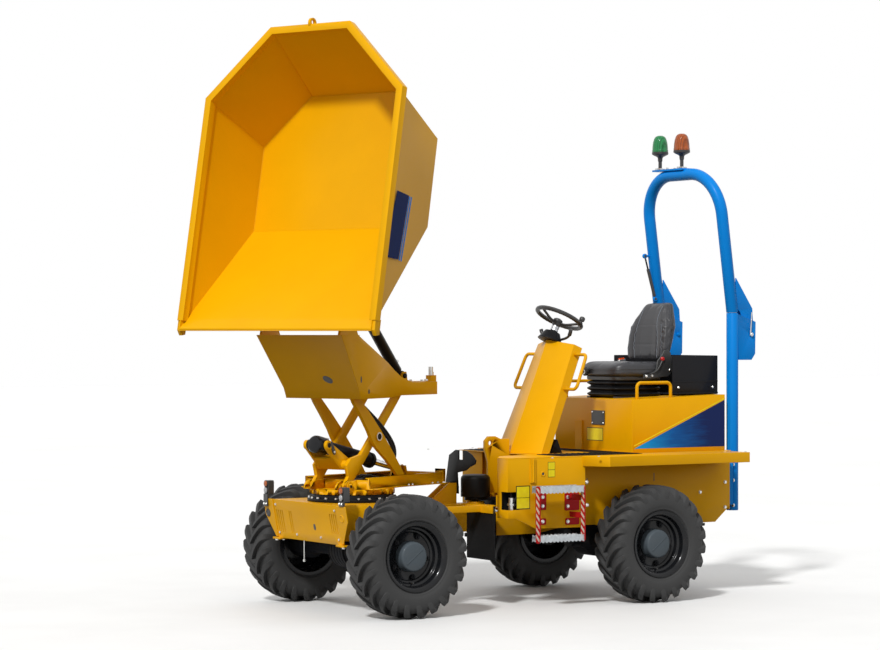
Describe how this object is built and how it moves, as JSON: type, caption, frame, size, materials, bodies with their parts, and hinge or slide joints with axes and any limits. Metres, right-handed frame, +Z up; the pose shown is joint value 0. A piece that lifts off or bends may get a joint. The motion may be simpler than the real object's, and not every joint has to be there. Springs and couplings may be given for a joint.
{
  "type": "articulated site dumper",
  "caption": "Articulated electric site dumper with a swivelling scissor lift, a forward tipping steel skip, a folding roll bar and an open driver seat.",
  "frame": {"origin": "centre of the tow pin bore in the rear hitch jaw", "axes": "+X forwards from the seat to the skip, +Y to the driver's left, +Z up; the ground is at z = -0.470 m"},
  "size_m": [3.9489, 1.8018, 3.7071],
  "materials": {
    "yellow_paint": "gloss",
    "black_paint": "satin",
    "tyre_rubber": "matte",
    "rubber": "matte",
    "black_plastic": "satin",
    "rod_chrome": "polished",
    "battery_case": "matte",
    "grey_paint": "satin",
    "blue_paint": "gloss",
    "column_steel": "satin",
    "seat_vinyl": "satin",
    "red_plastic": "gloss"
  },
  "bodies": {
    "rear_body": {"rear_chassis": "yellow_paint", "rear_axle": "black_paint", "pivot_yoke": "black_paint", "hose_drum": "rubber", "nose_plate": "yellow_paint", "deck": "yellow_paint", "seat_box": "yellow_paint", "battery_block": "battery_case", "console": "yellow_paint", "grab_handles": "yellow_paint", "step": "grey_paint", "rops_posts": "blue_paint", "steering_column": "column_steel", "seat_suspension": "rubber", "seat_cushion": "seat_vinyl", "seat_backrest": "seat_vinyl", "rear_tray": "grey_paint", "foot_pedals": "black_paint", "tow_hitch": "black_paint", "rear_lamps": "red_plastic"},
    "front_body": {"front_chassis": "yellow_paint", "front_axle": "black_paint", "latch_plate": "black_paint", "mud_flaps": "rubber", "front_lamps": "black_plastic", "slew_ring": "black_paint"},
    "swivel": {"swivel_frame": "yellow_paint"},
    "inner_scissor": {"inner_legs": "yellow_paint"},
    "outer_scissor": {"outer_legs": "yellow_paint"},
    "lift_top": {"top_frame": "yellow_paint"},
    "skip_body": {"skip": "yellow_paint"},
    "lift_barrel": {"lift_ram_barrel": "black_paint"},
    "lift_rod": {"lift_ram_rod": "rod_chrome"},
    "tip_barrel": {"tip_ram_barrel": "black_paint"},
    "tip_rod": {"tip_ram_rod": "rod_chrome"},
    "steer_barrel": {"steer_ram_barrel": "black_paint"},
    "steer_rod": {"steer_ram_rod": "rod_chrome"},
    "roll_bar": {"rops_hoop": "blue_paint", "beacons": "black_plastic"},
    "hand_wheel": {"steering_wheel": "black_plastic"},
    "wheel_front_left": {"tyre_front_left": "tyre_rubber", "rim_front_left": "black_paint"},
    "wheel_front_right": {"tyre_front_right": "tyre_rubber", "rim_front_right": "black_paint"},
    "wheel_rear_left": {"tyre_rear_left": "tyre_rubber", "rim_rear_left": "black_paint"},
    "wheel_rear_right": {"tyre_rear_right": "tyre_rubber", "rim_rear_right": "black_paint"}
  },
  "joints": [
    {"name": "steer", "type": "hinge", "parent": "rear_body", "child": "front_body", "pos_m": [1.842, 0, 0.08], "axis": [0, 0, 1], "range_deg": [-33, 33]},
    {"name": "slew", "type": "hinge", "parent": "front_body", "child": "swivel", "pos_m": [2.775, 0, 0.265], "axis": [0, 0, 1], "range_deg": [-112, 68]},
    {"name": "lift", "type": "hinge", "parent": "swivel", "child": "inner_scissor", "pos_m": [2.99474, 0.08878, 0.321], "axis": [-0.3746, 0.9272, 0], "range_deg": [-37, 0]},
    {"name": "scissor_cross", "type": "hinge", "parent": "inner_scissor", "child": "outer_scissor", "pos_m": [2.72423, -0.02051, 0.62312], "axis": [-0.3746, 0.9272, 0], "range_deg": [0, 74]},
    {"name": "scissor_top", "type": "hinge", "parent": "outer_scissor", "child": "lift_top", "pos_m": [2.99474, 0.08878, 0.92524], "axis": [-0.3746, 0.9272, 0], "range_deg": [-37, 0]},
    {"name": "tip", "type": "hinge", "parent": "lift_top", "child": "skip_body", "pos_m": [3.20151, 0.17232, 1.4], "axis": [-0.3746, 0.9272, 0], "range_deg": [-79, 0]},
    {"name": "lift_barrel_swing", "type": "hinge", "parent": "inner_scissor", "child": "lift_barrel", "pos_m": [3.10415, 0.13298, 0.58], "axis": [-0.3746, 0.9272, 0], "range_deg": [0, 32.45]},
    {"name": "lift_rod_slide", "type": "slide", "parent": "lift_barrel", "child": "lift_rod", "axis": [-0.9064, -0.3662, -0.2104], "range_m": [-0.1696, 0]},
    {"name": "tip_barrel_swing", "type": "hinge", "parent": "lift_top", "child": "tip_barrel", "pos_m": [2.31141, -0.1873, 1], "axis": [-0.3746, 0.9272, 0], "range_deg": [0, 27.04]},
    {"name": "tip_rod_slide", "type": "slide", "parent": "tip_barrel", "child": "tip_rod", "axis": [0.6276, 0.2536, 0.7361], "range_m": [-0.42989, 0]},
    {"name": "steer_barrel_swing", "type": "hinge", "parent": "rear_body", "child": "steer_barrel", "pos_m": [1.342, 0.335, 0.14], "axis": [0, 0, 1], "range_deg": [-1.13, 1.13]},
    {"name": "steer_rod_slide", "type": "slide", "parent": "steer_barrel", "child": "steer_rod", "axis": [0.9878, -0.1555, 0], "range_m": [-0.13771, 0.13771]},
    {"name": "roll_bar_fold", "type": "hinge", "parent": "rear_body", "child": "roll_bar", "pos_m": [-0.106, 0, 1.265], "axis": [0, -1, 0], "range_deg": [0, 150]},
    {"name": "hand_wheel_turn", "type": "hinge", "parent": "rear_body", "child": "hand_wheel", "pos_m": [1.174, 0, 1.375], "axis": [-0.454, 0, 0.891], "continuous": true},
    {"name": "wheel_front_left_roll", "type": "hinge", "parent": "front_body", "child": "wheel_front_left", "pos_m": [2.775, 0.6555, -0.09], "axis": [0, 1, 0], "continuous": true},
    {"name": "wheel_front_right_roll", "type": "hinge", "parent": "front_body", "child": "wheel_front_right", "pos_m": [2.775, -0.6555, -0.09], "axis": [0, 1, 0], "continuous": true},
    {"name": "wheel_rear_left_roll", "type": "hinge", "parent": "rear_body", "child": "wheel_rear_left", "pos_m": [0.909, 0.6555, -0.09], "axis": [0, 1, 0], "continuous": true},
    {"name": "wheel_rear_right_roll", "type": "hinge", "parent": "rear_body", "child": "wheel_rear_right", "pos_m": [0.909, -0.6555, -0.09], "axis": [0, 1, 0], "continuous": true}
  ],
  "couplings": [
    {"joint": "scissor_cross", "follows": "lift", "ratio": -2},
    {"joint": "scissor_top", "follows": "lift", "ratio": 1},
    {"joint": "lift_barrel_swing", "follows": "lift", "ratio": -0.87639},
    {"joint": "lift_rod_slide", "follows": "lift", "m_per_rad": 0.26232},
    {"joint": "tip_barrel_swing", "follows": "tip", "ratio": -0.34206},
    {"joint": "tip_rod_slide", "follows": "tip", "m_per_rad": 0.31164},
    {"joint": "steer_barrel_swing", "follows": "steer", "ratio": -0.033562},
    {"joint": "steer_rod_slide", "follows": "steer", "m_per_rad": -0.23875}
  ]
}
